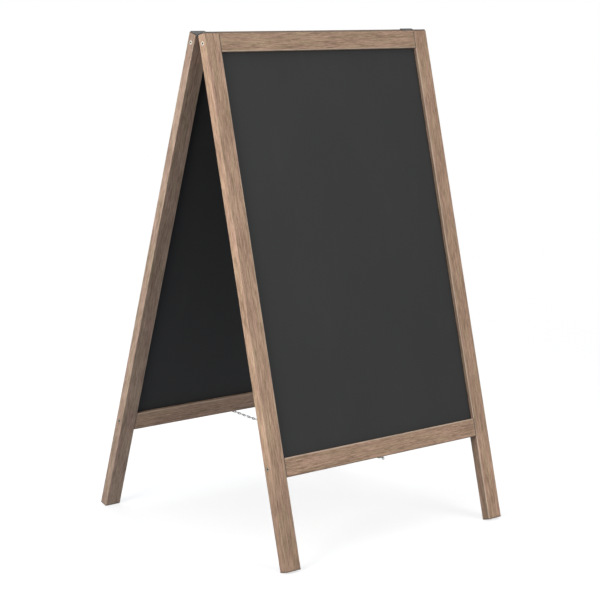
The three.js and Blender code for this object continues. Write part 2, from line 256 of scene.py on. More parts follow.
# Each pair is where a stain, a darkening or a painted shade begins and where it's full: first as z in the
# leaf's frame ...
TOP_END_ZONE = (-2.2 * MM, -0.4 * MM)
FOOT_END_ZONE = (-STILE_LENGTH + 5 * MM, -STILE_LENGTH + 0.6 * MM)
LEG_ZONE = (-STILE_LENGTH + 1.25 * LEG_LENGTH, -STILE_LENGTH + 0.8 * LEG_LENGTH)
# ... then as a distance from the line of the joint or from the side face.
RAIL_END_REACH = (2.6 * MM, 0.6 * MM)
STILE_EDGE_REACH = (2.4 * MM, 0.8 * MM)
BESIDE_RAIL_REACH = (1.5 * MM, -0.5 * MM)
SIDE_FACE_REACH = (0.9 * MM, 0.2 * MM)
LEG_PAINTED_LIGHTING = {  # painted light and shade: how light the legs are painted against the rest of the stile
    "front_left_stile": 0.89,
    "front_right_stile": 1.13,
    "back_left_stile": 1.10,
}
INNER_SIDE_PAINTED_SHADE = 0.55  # the same, as painted shade, for the stiles' inner sides
LEG_OUTER_PAINTED_SHADE = 0.78  # and as painted shade for the legs' outer sides

WOOD_ROUGHNESS = 0.50
FIBRE_ROUGHNESS = 0.22
END_ROUGHNESS = 0.45  # end grain and joints are matt
WOOD_SPECULAR = 0.28


def joint_stain(n, along, height, outwards):
    """1 at the joints between stiles and rails. height and outwards are places in the leaf's frame."""
    if along == "X":
        return n.ramp(outwards, *[HALF_OPENING - reach for reach in RAIL_END_REACH])
    edge = n.ramp(outwards, *[HALF_OPENING + reach for reach in STILE_EDGE_REACH])
    beside_top = n.ramp(height, *[-MEMBER_FACE - reach for reach in BESIDE_RAIL_REACH])
    from_middle = n.math("ABSOLUTE", n.math("SUBTRACT", height, BOTTOM_RAIL_Z))
    beside_bottom = n.ramp(from_middle, *[MEMBER_FACE / 2 + reach for reach in BESIDE_RAIL_REACH])
    return n.math("MULTIPLY", edge, n.math("MAXIMUM", beside_top, beside_bottom))


def growth_rings(n, grain, wander, draw):
    """Noise over the distance from the tree's heart, which wanders along the member."""
    bend = n.math("MULTIPLY", n.math("SUBTRACT", wander, 0.5), RING_WANDER)
    millimetres = n.add("ShaderNodeSeparateXYZ", inputs={0: n.stretched(grain, (1000, 1000, 1000))})
    heart = [draw.choice((-1, 1)) * draw.uniform(*distance) for distance in (HEART_ACROSS, HEART_THROUGH)]
    offsets = [n.math("ADD", n.math("SUBTRACT", millimetres.outputs[k], heart[k]), bend) for k in (0, 1)]
    radius = n.math("SQRT", n.math("ADD", *[n.math("MULTIPLY", offset, offset) for offset in offsets]))
    inputs = {"W": radius, "Scale": RINGS_PER_MM, "Detail": 4.0, "Roughness": 0.62}
    return n.add("ShaderNodeTexNoise", {"noise_dimensions": "1D"}, inputs).outputs["Fac"]


def wood_material(member, along, seed):
    """Fine-grained greyish brown hardwood. along is the member's length axis, X or Z, in the leaf's frame."""
    draw = random.Random(seed)
    n = Nodes(f"wood_{member}")
    mean = [c * tint for c, tint in zip(WOOD_MEAN, MEMBER_TINTS.get(member, (1, 1, 1)))]
    dark = [c * (1 - contrast) for c, contrast in zip(mean, WOOD_CONTRAST)]
    light = [c * (1 + contrast) for c, contrast in zip(mean, WOOD_CONTRAST)]
    place = n.add("ShaderNodeTexCoord").outputs["Object"]
    parts = n.add("ShaderNodeSeparateXYZ", inputs={0: place})
    across, length = ("X", "Z") if along == "Z" else ("Z", "X")
    grain = n.add(
        "ShaderNodeCombineXYZ",
        inputs={"X": parts.outputs[across], "Y": parts.outputs["Y"], "Z": parts.outputs[length]},
    ).outputs[0]
    # In millimetres, moved by a different amount for each member.
    shift = [draw.uniform(-900, 900) for _ in range(3)]
    mm = n.add(
        "ShaderNodeVectorMath", {"operation": "MULTIPLY_ADD"}, {0: grain, 1: (1000, 1000, 1000), 2: shift}
    ).outputs[0]

    marks = {}
    for name, (scale, detail, roughness) in GRAIN_NOISES.items():
        marks[name] = n.noise(n.stretched(mm, scale), detail, roughness)
    marks["rings"] = growth_rings(n, grain, marks["wander"], draw)
    tone = 0.5
    for name, weight in TONE_WEIGHTS.items():
        tone = n.math("ADD", tone, n.math("MULTIPLY", n.math("SUBTRACT", marks[name], 0.5), weight))
    colour = n.mix(n.ramp(tone, *TONE_RANGE, smooth=False), dark, light)
    hue = n.mix(n.ramp(marks["tint"], *TINT_RANGE), WOOD_TAN, WOOD_PINK)
    colour = n.mix(1.0, colour, hue, "MULTIPLY")
    pores = n.math("MULTIPLY", n.ramp(marks["pores"], *PORE_RANGE), PORE_STRENGTH)
    colour = n.mix(pores, colour, WOOD_PORE)

    # Arrises are paler, partly from sanding wear and partly as a painted highlight. The bottom rails' lower
    # arrises carry painted shade; the top ends are darker, and the feet's ends and the joints took more
    # stain.
    arris = n.add("ShaderNodeAttribute", {"attribute_name": "arris"}).outputs["Fac"]
    worn_and_lit = n.math("MULTIPLY", n.math("MAXIMUM", arris, 0.0), n.ramp(marks["streaks"], *PALE_ARRIS_STREAKS))
    colour = n.mix(n.math("MULTIPLY", worn_and_lit, PALE_ARRIS_STRENGTH), colour, WOOD_WORN_AND_LIT)
    underside_shade = n.math("MAXIMUM", n.math("MULTIPLY", arris, -1.0), 0.0)
    colour = n.mix(n.math("MULTIPLY", underside_shade, UNDERSIDE_SHADE_STRENGTH), colour, WOOD_STAIN_AND_SHADE)
    height = parts.outputs["Z"]
    outwards = n.math("ABSOLUTE", parts.outputs["X"])
    top_end = n.math("MULTIPLY", n.ramp(height, *TOP_END_ZONE), TOP_END_DARKENING)
    foot_end = n.math("MULTIPLY", n.ramp(height, *FOOT_END_ZONE), FOOT_END_STAIN)
    joint = n.math("MULTIPLY", joint_stain(n, along, height, outwards), JOINT_STAIN)
    ends = n.math("MAXIMUM", n.math("MAXIMUM", top_end, foot_end), joint)
    colour = n.mix(ends, colour, WOOD_STAIN_AND_SHADE)

    # Painted light and shade on the legs, and painted shade on the stiles' inner sides and the legs' outer
    # sides.
    leg = n.ramp(height, *LEG_ZONE)
    colour = n.shaded(leg, colour, LEG_PAINTED_LIGHTING.get(member, 1.0))
    if along == "Z":
        inner = n.ramp(outwards, *[HALF_OPENING + reach for reach in SIDE_FACE_REACH])
        outer = n.ramp(outwards, *[HALF_WIDTH - reach for reach in SIDE_FACE_REACH])
        colour = n.shaded(inner, colour, INNER_SIDE_PAINTED_SHADE)
        colour = n.shaded(n.math("MULTIPLY", leg, outer), colour, LEG_OUTER_PAINTED_SHADE)
    n.link(colour, n.shader.inputs["Base Color"])

    base = n.math("ADD", n.math("MULTIPLY", ends, END_ROUGHNESS), WOOD_ROUGHNESS)
    rough = n.math("ADD", n.math("MULTIPLY", marks["fibres"], FIBRE_ROUGHNESS), base)
    n.link(rough, n.shader.inputs["Roughness"])
    n.shader.inputs["Specular IOR Level"].default_value = WOOD_SPECULAR
    raised = n.math("MULTIPLY", marks["fibres"], 0.5)
    n.bump(n.math("SUBTRACT", raised, n.ramp(marks["pores"], *PORE_BUMP_RANGE)), 0.35, 0.15 * MM)
    return n.material


SLATE_DARK = (0.0195, 0.0199, 0.0200)
SLATE_LIGHT = (0.0222, 0.0226, 0.0227)
CHALK_DUST = (0.0265, 0.0268, 0.0270)
CHALK_SPECK = (0.050, 0.050, 0.050)
DUST_STRENGTH = 0.30
HAZE_PER_METRE = (5.0, 5.0, 3.2)
WIPES_PER_METRE = (28.0, 28.0, 5.0)
SPECKS_PER_METRE = 1400.0
SLATE_SPECULAR = 0.22


def slate_material():
    """Matt black chalk lacquer with the faint haze that wiping leaves."""
    n = Nodes("chalkboard_lacquer")
    place = n.add("ShaderNodeTexCoord").outputs["Object"]
    haze = n.noise(n.stretched(place, HAZE_PER_METRE), 4.0, 0.55)
    wipes = n.noise(n.stretched(place, WIPES_PER_METRE), 3.0, 0.6)
    speckle = n.noise(place, 2.0, 0.6, scale=SPECKS_PER_METRE)
    colour = n.mix(n.ramp(haze, 0.35, 0.75), SLATE_DARK, SLATE_LIGHT)
    colour = n.mix(n.math("MULTIPLY", n.ramp(wipes, 0.52, 0.80), DUST_STRENGTH), colour, CHALK_DUST)
    colour = n.mix(n.math("MULTIPLY", n.ramp(speckle, 0.60, 0.74), DUST_STRENGTH), colour, CHALK_SPECK)
    n.link(colour, n.shader.inputs["Base Color"])
    n.link(n.math("ADD", n.math("MULTIPLY", haze, 0.12), 0.66), n.shader.inputs["Roughness"])
    n.shader.inputs["Specular IOR Level"].default_value = SLATE_SPECULAR
    n.bump(speckle, 0.25, 0.06 * MM)
    return n.material


# Painted shade for the screws' drives and the chain's upright links.
PAINTED_SHADE_DARK = (0.020, 0.017, 0.014)
METALS = {  # material, base and tarnish colours, roughness, how metallic
    "bright": ("bright_zinc", (0.76, 0.70, 0.60), (0.58, 0.53, 0.45), 0.46, 0.7),
    # the bottom rail's screws are darker than the top ones
    "darker": ("darker_zinc", (0.40, 0.35, 0.30), (0.28, 0.25, 0.21), 0.50, 1.0),
    "hinge": ("dark_hinge_steel", (0.128, 0.121, 0.109), (0.086, 0.082, 0.075), 0.44, 0.85),
    "chain": ("nickel_chain", (0.88, 0.87, 0.84), (0.70, 0.69, 0.66), 0.26, 0.45),
    "eye": ("dark_eye_steel", (0.22, 0.20, 0.18), (0.13, 0.12, 0.11), 0.36, 1.0),
}
PATCHES_PER_METRE = 260.0
SCRATCHES_PER_METRE = (900.0, 5200.0, 5200.0)


def metal_material(name, base, tarnish_and_shade, roughness, metallic):
    """Plated or coated steel with cloudy patches and fine scratches, darkened with painted shade in screw
    drives and on upright chain links.
    """
    n = Nodes(name)
    place = n.add("ShaderNodeTexCoord").outputs["Object"]
    patches = n.noise(place, 3.0, 0.6, scale=PATCHES_PER_METRE)
    scratches = n.noise(n.stretched(place, SCRATCHES_PER_METRE), 2.0, 0.5)
    painted_shade = n.add("ShaderNodeAttribute", {"attribute_name": "painted_shade"}).outputs["Fac"]
    colour = n.mix(n.ramp(patches, 0.40, 0.68), base, tarnish_and_shade)
    n.link(n.mix(painted_shade, colour, PAINTED_SHADE_DARK), n.shader.inputs["Base Color"])
    rough = n.math("ADD", n.math("MULTIPLY", patches, 0.20), roughness - 0.06)
    n.link(n.math("ADD", rough, n.math("MULTIPLY", scratches, 0.08)), n.shader.inputs["Roughness"])
    n.shader.inputs["Metallic"].default_value = metallic
    n.bump(scratches, 0.15, 0.02 * MM)
    return n.material


# ---------------------------------------------------------------- mesh helpers
def rounded_outline(width, height, radius, inset=0.0, steps=4):
    """Points of a rounded rectangle, anticlockwise, moved inwards by inset."""
    points = []
    reach = radius - inset
    for quarter, (sx, sy) in enumerate(((1, 1), (-1, 1), (-1, -1), (1, -1))):
        for step in range(steps + 1):
            angle = math.pi / 2 * (quarter + step / steps)
            x = sx * (width / 2 - radius) + reach * math.cos(angle)
            y = sy * (height / 2 - radius) + reach * math.sin(angle)
            points.append((x, y))
    return points


def bar_stations(length, end_radius, spacing, steps=3):
    """(place along the bar, inset of the outline) from one end to the other, with eased ends."""
    angles = [math.pi / 2 * k / steps for k in range(steps + 1)]
    start = [(-length / 2 + end_radius * (1 - math.cos(a)), end_radius * (1 - math.sin(a))) for a in angles]
    count = max(1, round((length - 2 * end_radius) / spacing))
    pitch = (length - 2 * end_radius) / count
    middle = [(-length / 2 + end_radius + pitch * k, 0.0) for k in range(1, count)]
    end = [(-along, inset) for along, inset in start[::-1]]
    return start + middle + end


def loft(rings, closed_ends=True):
    """Vertices and faces of a skin over rings that all have the same number of points."""
    size = len(rings[0])
    vertices = [point for ring in rings for point in ring]
    faces = []
    for row in range(len(rings) - 1):
        for k in range(size):
            a, b = row * size + k, row * size + (k + 1) % size
            faces.append((a, b, b + size, a + size))
    if closed_ends:
        faces.append(tuple(reversed(range(size))))
        faces.append(tuple(range((len(rings) - 1) * size, len(rings) * size)))
    return vertices, faces


def lathe(profile, sides=48):
    """A turned solid that hangs down from z = 0. The profile is a list of (radius, depth), axis to axis."""
    vertices, faces = [(0, 0, -profile[0][1])], []
    inner = profile[1:-1]
    for radius, depth in inner:
        for k in range(sides):
            angle = 2 * math.pi * k / sides
            vertices.append((radius * math.cos(angle), radius * math.sin(angle), -depth))
    vertices.append((0, 0, -profile[-1][1]))
    last = len(vertices) - 1
    for k in range(sides):
        faces.append((0, 1 + k, 1 + (k + 1) % sides))
        for row in range(len(inner) - 1):
            a, b = 1 + row * sides + k, 1 + row * sides + (k + 1) % sides
            faces.append((a, a + sides, b + sides, b))
        base = 1 + (len(inner) - 1) * sides
        faces.append((last, base + (k + 1) % sides, base + k))
    return vertices, faces


def tube(path, radius, closed=False, sides=10):
    """A round wire along a list of points, its section carried along without twisting."""
    count = len(path)
    rings, normal = [], None
    for k, point in enumerate(path):
        if closed:
            tangent = (path[(k + 1) % count] - path[k - 1]).normalized()
        else:
            tangent = (path[min(k + 1, count - 1)] - path[max(k - 1, 0)]).normalized()
        if normal is None:
            normal = tangent.orthogonal().normalized()
        normal = (normal - tangent * normal.dot(tangent)).normalized()
        side = tangent.cross(normal)
        thickness = radius(k / (count - 1)) if callable(radius) else radius
        ring = []
        for s in range(sides):
            angle = 2 * math.pi * s / sides
            ring.append(point + (normal * math.cos(angle) + side * math.sin(angle)) * thickness)
        rings.append(ring)
    if not closed:
        return loft(rings)
    vertices, faces = loft(rings, closed_ends=False)
    base = (count - 1) * sides
    for s in range(sides):
        faces.append((base + s, base + (s + 1) % sides, (s + 1) % sides, s))
    return vertices, faces


def box(xs, ys, zs):
    vertices = [(x, y, z) for x in sorted(xs) for y in sorted(ys) for z in sorted(zs)]
    faces = [(0, 1, 3, 2), (4, 6, 7, 5), (0, 4, 5, 1), (2, 3, 7, 6), (0, 2, 6, 4), (1, 5, 7, 3)]
    return vertices, faces


def moved(shape, matrix):
    vertices, faces = shape
    return [matrix @ Vector(v) for v in vertices], faces


def joined(shapes):
    vertices, faces = [], []
    for shape_vertices, shape_faces in shapes:
        start = len(vertices)
        vertices += list(shape_vertices)
        faces += [tuple(start + k for k in face) for face in shape_faces]
    return vertices, faces


def make_object(name, shape):
    vertices, faces = shape
    mesh = bpy.data.meshes.new(name)
    mesh.from_pydata([tuple(v) for v in vertices], [], faces)
    mesh.update()
    made = bpy.data.objects.new(name, mesh)
    bpy.context.scene.collection.objects.link(made)
    return made


def apply_modifiers(made):
    bpy.context.view_layer.update()
    graph = bpy.context.evaluated_depsgraph_get()
    mesh = bpy.data.meshes.new_from_object(made.evaluated_get(graph))
    made.modifiers.clear()
    made.data = mesh


def combine(made, shape, operation):
    """Cuts a shape from an object, or adds it, with an exact boolean."""
    other = make_object("other_shape", shape)
    modifier = made.modifiers.new("combine", "BOOLEAN")
    modifier.operation = operation
    modifier.solver = "EXACT"
    modifier.object = other
    apply_modifiers(made)
    bpy.data.objects.remove(other)


def finish_piece(made, matrix, material, body, replaced, sharp_angle=35):
    """Places a piece, shades it, and hands it to its body."""
    made.data.shade_smooth()
    made.data.set_sharp_from_angle(angle=math.radians(sharp_angle))
    modifier = made.modifiers.new("even_normals", "WEIGHTED_NORMAL")
    modifier.keep_sharp = True
    modifier.weight = 80
    made.data.materials.clear()
    made.data.materials.append(material)
    made.matrix_world = matrix
    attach(made, body)
    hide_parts(replaced)
    return made


# ---------------------------------------------------------------- screws
FRAME_SCREW_LENGTH = 70 * MM
FRAME_SCREW_RADII = {"head": 5.0 * MM, "shank": 3.2 * MM, "thread": 2.6 * MM}
FRAME_SCREW_PLAY = 0.15 * MM  # of its hole in the wood
HINGE_SCREW_PLAY = 0.1 * MM
SEAT_RADIUS = 5.15 * MM  # of the hollow that the frame screw's head sits in
SCREW_SIDES = 32
HEX_SOCKET_RADIUS = 2.3 * MM
HEX_SOCKET_DEPTH = 2.4 * MM
HEX_SOCKET_MOUTH = 1.12 * HEX_SOCKET_RADIUS
CROSS_ARM = (1.75 * MM, 0.38 * MM)  # half its length and half its width
CROSS_DEPTH = 1.0 * MM


def frame_screw_profile(margin):
    """(radius, depth) of a screw, or of its hole where margin is its play."""
    head, shank, thread = [FRAME_SCREW_RADII[part] + margin for part in ("head", "shank", "thread")]
    return [
        (0, 0),
        (head - 0.45 * MM, 0),
        (head - 0.15 * MM, 0.12 * MM),
        (head, 0.35 * MM),
        (head, 0.6 * MM),
        (shank, 3.0 * MM),
        (shank, 46 * MM),
        (thread, 47 * MM),
        (thread, FRAME_SCREW_LENGTH - 3 * MM),
        (0, FRAME_SCREW_LENGTH + margin),
    ]


def hinge_screw_profile(margin):
    """The same for a countersunk hinge screw."""
    return [
        (0, 0),
        (1.6 * MM + margin, 0.03 * MM),
        (2.7 * MM + margin, 0.14 * MM),
        (3.0 * MM + margin, 0.3 * MM),
        (1.5 * MM + margin, 1.6 * MM),
        (1.5 * MM + margin, 12 * MM),
        (0, 16 * MM + margin),
    ]


HINGE_SCREW_SEAT = [  # the countersunk hole in a plate, open above it
    (0, -1 * MM),
    (3.1 * MM, -1 * MM),
    (3.1 * MM, 0.3 * MM),
    (1.6 * MM, 1.6 * MM),
    (1.6 * MM, 12 * MM),
    (0, 12 * MM),
]


def to_side_face(side, screw_z):
    """Turns a shape that hangs down from z = 0 so that it runs in from the stile's outer side face."""
    place = Matrix.Translation((side * (HALF_WIDTH - FRAME_SCREW_SUNK), MIDDLE_Y, screw_z))
    return place @ Matrix.Rotation(side * math.pi / 2, 4, "Y")


def to_plate(side, end):
    """Moves a shape to the plate's upper face, at the outer screw (end 1) or the inner one (end -1)."""
    x = side * HINGE_X + side * end * HINGE_SCREW_SPACING / 2
    return Matrix.Translation((x, PLATE_MIDDLE_Y, PLATE_TOP_Z))


def mark_recess(made, depth, radius):
    """A point attribute for painted shade: 1 in the drive, more than depth below the head's face, and 0
    elsewhere.
    """
    values = []
    for vertex in made.data.vertices:
        x, y, z = vertex.co
        values.append(float(z < -depth and math.hypot(x, y) < radius))
    made.data.attributes.new("painted_shade", "FLOAT", "POINT").data.foreach_set("value", values)


def frame_screw(name):
    made = make_object(name, lathe(frame_screw_profile(0)))
    socket = lathe(
        [
            (0, -1 * MM),
            (HEX_SOCKET_MOUTH, -1 * MM),
            (HEX_SOCKET_MOUTH, 0),
            (HEX_SOCKET_RADIUS, 0.25 * MM),
            (HEX_SOCKET_RADIUS, HEX_SOCKET_DEPTH),
            (0, HEX_SOCKET_DEPTH + 0.7 * MM),
        ],
        sides=6,
    )
    combine(made, socket, "DIFFERENCE")
    mark_recess(made, 0.2 * MM, 1.05 * HEX_SOCKET_RADIUS)
    return made


def hinge_screw(name, turn):
    """A countersunk cross-head screw, its cross turned to where it was driven."""
    made = make_object(name, lathe(hinge_screw_profile(0), SCREW_SIDES))
    arm_long, arm_wide = CROSS_ARM
    for quarter in (0, math.pi / 2):
        wide = [(-arm_long, -arm_wide), (arm_long, -arm_wide), (arm_long, arm_wide), (-arm_long, arm_wide)]
        top = [(x, y, 0.5 * MM) for x, y in wide]
        bottom = [(x * 0.45, y * 0.6, -CROSS_DEPTH) for x, y in wide]
        arm = moved(loft([bottom, top]), Matrix.Rotation(turn + quarter, 4, "Z"))
        combine(made, arm, "DIFFERENCE")
    mark_recess(made, 0.4 * MM, arm_long)
    return made


# ---------------------------------------------------------------- wooden members
STATION_SPACING = 25 * MM
END_EASE = 1.1 * MM
WAVE_DEPTH = 0.18 * MM
WAVES_PER_METRE = (37, 61, 21)  # across, through and along the bar
FLAT_WAVE = 0.25  # the wave on the flats, as a share of the one on the arrises
ARRIS_ZONE = 3.4 * MM  # how far the paling of an arris, wear and painted highlight, reaches onto the flats beside it
OUTER_ARRIS_PALING = 0.12  # paling, wear and painted highlight, of the outer arrises against the ones beside the panel
EYE_HOLE_RADIUS = 1.2 * MM
EYE_HOLE_DEPTH = 13 * MM


def bar_outline(width, thickness, inset):
    """A rounded rectangle with a point on each flat where the paling of the arris, wear and painted
    highlight, ends.
    """
    arcs = rounded_outline(width, thickness, ARRIS_RADIUS, inset)
    size = len(arcs) // 4
    points = []
    for quarter in range(4):
        arc = arcs[quarter * size:(quarter + 1) * size]
        step = ARRIS_ZONE - ARRIS_RADIUS
        (x0, y0), (x1, y1) = arc[0], arc[-1]
        if quarter % 2 == 0:
            before, after = (x0, y0 - math.copysign(step, y0)), (x1 - math.copysign(step, x1), y1)
        else:
            before, after = (x0 - math.copysign(step, x0), y0), (x1, y1 - math.copysign(step, y1))
        points += [before, *arc, after]
    return points


def bar(width, thickness, length, seed):
    """A planed bar along z with eased arrises that were sanded by hand, so they wander a little inwards."""
    across, through, lengthways = WAVES_PER_METRE
    rings = []
    for along, inset in bar_stations(length, END_EASE, STATION_SPACING):
        ring = []
        for x, y in bar_outline(width, thickness, inset):
            corner = max(0.0, 1.0 - (width / 2 - abs(x) + thickness / 2 - abs(y)) / (2 * ARRIS_RADIUS))
            spot = Vector((seed + across * x, seed + through * y, lengthways * along))
            wave = 0.5 + 0.5 * noise.noise(spot)
            pull = WAVE_DEPTH * wave * (FLAT_WAVE + (1 - FLAT_WAVE) * corner)
            ring.append((x - math.copysign(pull, x), y - math.copysign(pull, y), along))
        rings.append(ring)
    return loft(rings)


def mark_arrises(made, matrix_to_bar, width, underside_shade_x, outer_x):
    """A point attribute for the wood's colour: 0 on the flats, 1 on arrises paled by wear and painted
    highlight, -1 on ones with painted shade.

    underside_shade_x and outer_x are the signs of the bar's own x there, or 0 if it has none.
    """
    attribute = made.data.attributes.new("arris", "FLOAT", "POINT")
    values = []
    for vertex in made.data.vertices:
        p = matrix_to_bar @ vertex.co
        gap = max(width / 2 - abs(p.x), 0) + max(MEMBER_THICKNESS / 2 - abs(p.y), 0)
        near = (ARRIS_ZONE - gap) / (ARRIS_ZONE - 0.6 * ARRIS_RADIUS)
        near = min(max(near, 0.0), 1.0)
        if p.x * outer_x > 0:
            near *= OUTER_ARRIS_PALING
        values.append(-near if p.x * underside_shade_x > 0 else near)
    attribute.data.foreach_set("value", values)


def wooden_member(name, leaf, along, length, centre, seed, cutters):
    """One bar, grooved and drilled. Its object's axes are the leaf's."""
    to_leaf = Matrix.Translation(centre)
    if along == "X":
        to_leaf = to_leaf @ Matrix.Rotation(math.pi / 2, 4, "Y")
    made = make_object(name, moved(bar(MEMBER_FACE, MEMBER_THICKNESS, length, seed), to_leaf))
    for cutter in cutters:
        combine(made, cutter, "DIFFERENCE")
    # A rail's bar lies with its own +x downwards, and only the bottom rail's lower side gets painted shade.
    underside_shade_x = 1 if name.endswith("bottom_rail") else 0
    outer_x = -1 if name.endswith("top_rail") else math.copysign(1, centre[0]) * (along == "Z")
    mark_arrises(made, to_leaf.inverted(), MEMBER_FACE, underside_shade_x, outer_x)
    material = wood_material(name, along, seed)
    return finish_piece(made, LEAVES[leaf], material, f"{leaf}_leaf", name)


def groove(xs, zs):
    half = PANEL_THICKNESS / 2 + CLEARANCE
    return box(xs, (MIDDLE_Y - half, MIDDLE_Y + half), zs)


def make_stile(leaf, hand, side, seed):
    cutters = [
        groove(
            (side * (HALF_OPENING - 1 * MM), side * (HALF_OPENING + GROOVE_DEPTH)),
            (GROOVE_BOTTOM_Z, GROOVE_TOP_Z),
        )
    ]
    hole = lathe(frame_screw_profile(FRAME_SCREW_PLAY))
    seat = lathe([(0, -1 * MM), (SEAT_RADIUS, -1 * MM), (SEAT_RADIUS, 0.5 * MM), (0, 0.5 * MM)])
    for screw_z in (TOP_RAIL_Z, BOTTOM_SCREW_Z):
        cutters.append(moved(hole, to_side_face(side, screw_z)))
        cutters.append(moved(seat, to_side_face(side, screw_z)))
    for end in (-1, 1):
        cutters.append(moved(lathe(hinge_screw_profile(HINGE_SCREW_PLAY), SCREW_SIDES), to_plate(side, end)))
    centre = (side * STILE_X, MIDDLE_Y, -STILE_LENGTH / 2)
    wooden_member(f"{leaf}_{hand}_stile", leaf, "Z", STILE_LENGTH, centre, seed, cutters)


def make_rail(leaf, which, rail_z, groove_z, screw_z, seed, eye=None):
    length = 2 * (HALF_OPENING - CLEARANCE)
    beyond = rail_z + math.copysign(MEMBER_FACE, groove_z - rail_z)
    cutters = [groove((-length, length), (groove_z, beyond))]
    for side in (-1, 1):
        cutters.append(moved(lathe(frame_screw_profile(FRAME_SCREW_PLAY)), to_side_face(side, screw_z)))
    if eye:
        shank = LEAVES[leaf].inverted() @ eye
        profile = [
            (0, -3 * MM),
            (EYE_HOLE_RADIUS, -3 * MM),
            (EYE_HOLE_RADIUS, EYE_HOLE_DEPTH),
            (0, EYE_HOLE_DEPTH + 0.6 * MM),
        ]
        hole = lathe(profile, SCREW_SIDES)
        upwards = Matrix.Rotation(math.pi, 4, "X")
        cutters.append(moved(hole, Matrix.Translation((shank.x, shank.y, RAIL_UNDERSIDE_Z)) @ upwards))
    centre = (0, MIDDLE_Y, rail_z)
    wooden_member(f"{leaf}_{which}_rail", leaf, "X", length, centre, seed, cutters)


# ---------------------------------------------------------------- hinges
PLATE_CORNER_RADIUS = 1.6 * MM
PLATE_EASE = 0.35 * MM
PLATE_EASE_MIDDLE = 0.1 * MM  # depth and inset of the point half way round the eased edge
KNUCKLE_EASE = 0.25 * MM
WEB_ROOT = 1.2 * MM  # how far the web between plate and knuckle reaches into the plate
WEB_SIDE_INSET = 0.35 * MM
WEB_FACE_INSET = 0.12 * MM
PIN_HEAD_RADIUS = 2.3 * MM
PIN_HEAD_THICKNESS = 0.7 * MM
PIN_HEAD = [  # (radius, depth) from the top of the head down
    (0, 0),
    (PIN_HEAD_RADIUS * 0.55, 0),
    (PIN_HEAD_RADIUS * 0.88, 0.16 * MM),
    (PIN_HEAD_RADIUS, 0.42 * MM),
    (PIN_HEAD_RADIUS, PIN_HEAD_THICKNESS),
]


def to_hinge_line(x):
    """Turns a shape that hangs down from z = 0 so that it runs towards -x along the hinge line, from x."""
    return Matrix.Translation((x, PIN_BACKSET, PIN_HEIGHT)) @ Matrix.Rotation(math.pi / 2, 4, "Y")


def knuckle_barrel(length):
    mouth = KNUCKLE_RADIUS - KNUCKLE_EASE
    profile = [
        (0, 0),
        (mouth, 0),
        (KNUCKLE_RADIUS, KNUCKLE_EASE),
        (KNUCKLE_RADIUS, length - KNUCKLE_EASE),
        (mouth, length),
        (0, length),
    ]
    return lathe(profile)


def knuckle_span(knuckle):
    """(start, end) of a knuckle along x, from the middle of the hinge."""
    pitch = HINGE_LENGTH / KNUCKLE_COUNT
    x0 = -HINGE_LENGTH / 2 + knuckle * pitch
    x1 = x0 + pitch
    play = CLEARANCE / 2
    return x0 + (play if knuckle > 0 else 0), x1 - (play if knuckle < KNUCKLE_COUNT - 1 else 0)


def hinge_plate(name, leaf, side, first_knuckle, material):
    """A plate on the stile's top end, with every second knuckle from first_knuckle on."""
    lower_edge = [(0, PLATE_EASE), (PLATE_EASE_MIDDLE, PLATE_EASE_MIDDLE), (PLATE_EASE, 0)]
    upper_edge = [(PLATE_THICKNESS - depth, inset) for depth, inset in lower_edge[::-1]]
    rings = []
    for height, inset in lower_edge + upper_edge:
        ring = []
        for x, y in rounded_outline(HINGE_LENGTH, PLATE_WIDTH, PLATE_CORNER_RADIUS, inset):
            ring.append((x, y + PLATE_MIDDLE_Y, CLEARANCE + height))
        rings.append(ring)
    made = make_object(name, loft(rings))
    for knuckle in range(first_knuckle, KNUCKLE_COUNT, 2):
        x0, x1 = knuckle_span(knuckle)
        # The web is a little smaller, so that none of its faces lie in a face of the plate or barrel.
        web = box(
            (x0 + WEB_SIDE_INSET, x1 - WEB_SIDE_INSET),
            (-PLATE_EDGE_INSET - WEB_ROOT, PIN_BACKSET),
            (CLEARANCE + WEB_FACE_INSET, PLATE_TOP_Z - WEB_FACE_INSET),
        )
        combine(made, web, "UNION")
        combine(made, moved(knuckle_barrel(x1 - x0), to_hinge_line(x1)), "UNION")
    bore_radius = PIN_RADIUS + PIN_PLAY
    reach = 2 * HINGE_LENGTH
    bore = lathe([(0, 0), (bore_radius, 0), (bore_radius, reach), (0, reach)], SCREW_SIDES)
    combine(made, moved(bore, to_hinge_line(HINGE_LENGTH)), "DIFFERENCE")
    made.data.transform(Matrix.Translation((side * HINGE_X, 0, 0)))
    for end in (-1, 1):
        combine(made, moved(lathe(HINGE_SCREW_SEAT, sides=40), to_plate(side, end)), "DIFFERENCE")
    finish_piece(made, LEAVES[leaf], material, f"{leaf}_leaf", name)


def hinge_pin(name, side, material):
    """A pin with the same head at both ends."""
    length = HINGE_LENGTH + 2 * CLEARANCE + 2 * PIN_HEAD_THICKNESS
    shank = [(PIN_RADIUS, PIN_HEAD_THICKNESS), (PIN_RADIUS, length - PIN_HEAD_THICKNESS)]
    far_head = [(radius, length - depth) for radius, depth in PIN_HEAD[::-1]]
    pin = lathe(PIN_HEAD + shank + far_head, SCREW_SIDES)
    made = make_object(name, moved(pin, to_hinge_line(side * HINGE_X + length / 2)))
    finish_piece(made, FRONT_LEAF, material, "front_leaf", name)


# ---------------------------------------------------------------- screw eyes and chain
SHANK_STEPS = 8
RING_STEPS = 44
RING_START = math.radians(104)  # from the leaf's own +Y upwards, so just past the top of the ring
RING_SWEEP = math.radians(334)
LINK_STEPS = 8  # along each half round
LINK_SIDES = 10
LINK_SWAY = 0.16  # how far a link may be turned from its place, in radians
CHAIN_SAMPLES = 2000


